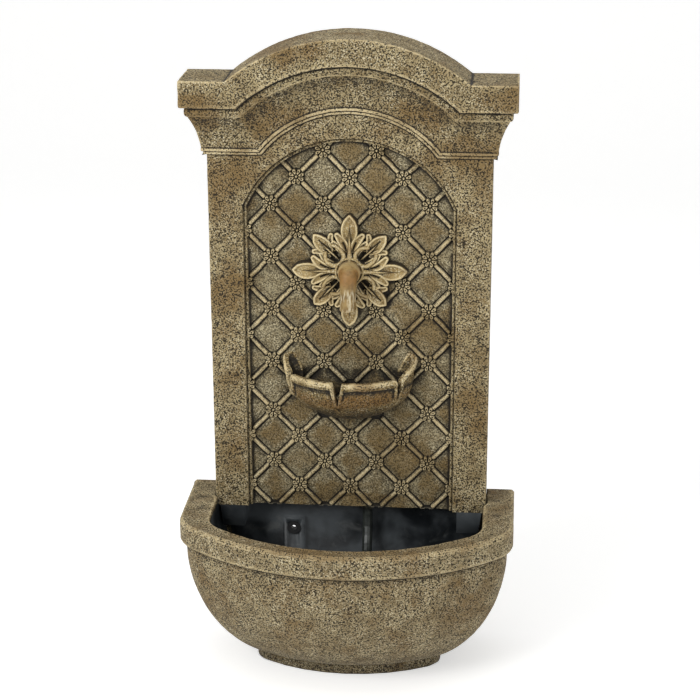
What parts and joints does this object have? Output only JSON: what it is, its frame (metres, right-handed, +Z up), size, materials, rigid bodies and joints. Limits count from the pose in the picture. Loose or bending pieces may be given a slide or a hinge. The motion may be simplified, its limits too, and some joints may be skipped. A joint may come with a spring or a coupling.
{
  "type": "garden wall fountain",
  "caption": "Wall fountain: crowned trellis panel with a leaf rosette and bent spout over a notched spill bowl, above a bow-front basin that holds a submersible pump.",
  "frame": {"origin": "on the floor under the middle of the basin's foot-to-rim box, halfway between the wall and the basin's front", "axes": "+Z up, -Y to the front (away from the wall), +X to the right as seen from the front"},
  "size_m": [0.408, 0.216, 0.787],
  "materials": {
    "cast_stone": "cast resin stone, khaki-tan patina over dark brown, matt, pitted",
    "cast_stone_basin": "the same cast finish on the basin, dark inside",
    "gilded_stone": "golden-brown rubbed finish on the leaves",
    "gilded_bowl": "golden-brown rubbed finish on the spill bowl",
    "bronze": "smooth golden-brown, streaked, worn at the bend",
    "brass_nut": "turned, satin",
    "zinc_steel": "bright zinc plated",
    "black_rubber": "matt black",
    "grey_plastic": "dark grey moulded",
    "tube_plastic": "dark flexible tube",
    "pump_plastic": "black moulded",
    "impeller_plastic": "off-white moulded",
    "dial_plastic": "dark grey moulded",
    "lamination_steel": "stacked laminations",
    "copper_wire": "enamelled copper winding",
    "ferrite": "dark sintered magnet",
    "white_ceramic": "ground",
    "sponge_foam": "open-cell black foam"
  },
  "bodies": {
    "root": {"wall_panel": "cast_stone", "basin": "cast_stone_basin", "rosette": "gilded_stone", "spout": "bronze", "spout_washer": "black_rubber", "spout_backnut": "brass_nut", "tail_elbow": "grey_plastic", "spill_bowl": "gilded_bowl", "water_tube": "tube_plastic", "tube_clips": "grey_plastic", "clip_screws": "zinc_steel", "hanger_plates": "zinc_steel", "hanger_screws": "zinc_steel", "joint_screws": "zinc_steel", "cord_grommet": "black_rubber", "pump_housing": "pump_plastic", "stator_core": "lamination_steel", "stator_coil": "copper_wire", "pump_volute": "pump_plastic", "volute_o_ring": "black_rubber", "outlet_nozzle": "pump_plastic", "shaft_bush": "black_rubber", "suction_cups": "black_rubber", "cable_gland": "black_rubber"},
    "impeller": {"impeller": "impeller_plastic", "rotor_magnet": "ferrite", "impeller_shaft": "white_ceramic"},
    "intake_cover": {"intake_cover": "pump_plastic", "filter_sponge": "sponge_foam"},
    "flow_dial": {"flow_dial": "dial_plastic"}
  },
  "joints": [
    {"name": "impeller_spin", "type": "hinge", "parent": "root", "child": "impeller", "pos_m": [0.02, 0.072, 0.054], "axis": [1, 0, 0], "continuous": true},
    {"name": "intake_cover_slide", "type": "slide", "parent": "root", "child": "intake_cover", "axis": [1, 0, 0], "range_m": [0, 0.02]},
    {"name": "flow_dial_turn", "type": "hinge", "parent": "intake_cover", "child": "flow_dial", "pos_m": [0.045, 0.072, 0.054], "axis": [1, 0, 0], "range_deg": [0, 90]}
  ]
}
